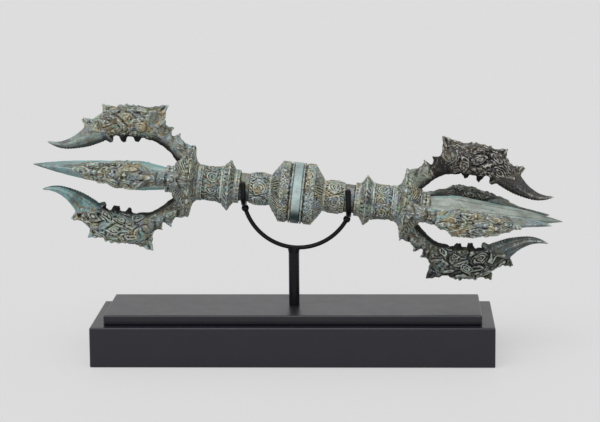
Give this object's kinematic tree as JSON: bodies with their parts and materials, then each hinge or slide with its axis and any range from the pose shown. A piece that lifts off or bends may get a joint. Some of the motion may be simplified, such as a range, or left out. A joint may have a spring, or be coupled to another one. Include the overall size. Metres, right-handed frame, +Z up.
{
  "type": "dorje vajra on a stand",
  "caption": "Double-ended bronze ritual vajra with fanged, carved prongs round a spear at each end, resting in a black wire cradle on a stepped block stand.",
  "frame": {"origin": "centre of the stand's underside, where it rests on a table", "axes": "+X to the right along the base and the vajra, +Y to the back, +Z up"},
  "size_m": [0.3976, 0.1106, 0.19],
  "materials": {
    "patina_bronze": "weathered green and brown patina",
    "pale_patina": "smooth blue-green patina",
    "dark_patina": "dark brown patina",
    "bare_bronze": "turned",
    "black_lacquer": "satin black lacquer",
    "black_wire": "semi-gloss black",
    "steel": "zinc plated"
  },
  "bodies": {
    "stand": {"base_plinth": "black_lacquer", "base_top": "black_lacquer", "post": "black_wire", "post_screw": "steel", "post_washer": "steel", "cradle_arc": "black_wire", "saddle_left": "black_wire", "saddle_right": "black_wire", "weld_beads": "black_wire"},
    "core": {"core_rod": "bare_bronze"},
    "vajra": {"globe_band": "pale_patina", "globe_left": "patina_bronze", "globe_right": "patina_bronze", "neck_left": "patina_bronze", "neck_right": "patina_bronze", "collar_left": "patina_bronze", "collar_right": "patina_bronze", "drum_left": "patina_bronze", "drum_right": "patina_bronze", "crown_left": "patina_bronze", "crown_right": "patina_bronze", "ring_left": "patina_bronze", "ring_right": "patina_bronze", "spike_left": "pale_patina", "spike_right": "pale_patina", "prong_left_top": "patina_bronze", "prong_left_front": "patina_bronze", "prong_left_bottom": "patina_bronze", "prong_left_back": "patina_bronze", "prong_right_top": "dark_patina", "prong_right_front": "patina_bronze", "prong_right_bottom": "patina_bronze", "prong_right_back": "patina_bronze"}
  },
  "joints": [
    {"name": "vajra_lift", "type": "slide", "parent": "stand", "child": "core", "axis": [0, 0, 1], "range_m": [0, 0.09]},
    {"name": "vajra_roll", "type": "hinge", "parent": "core", "child": "vajra", "pos_m": [0.0029, 0, 0.1231], "axis": [0.9938, 0, -0.1115], "continuous": true}
  ]
}
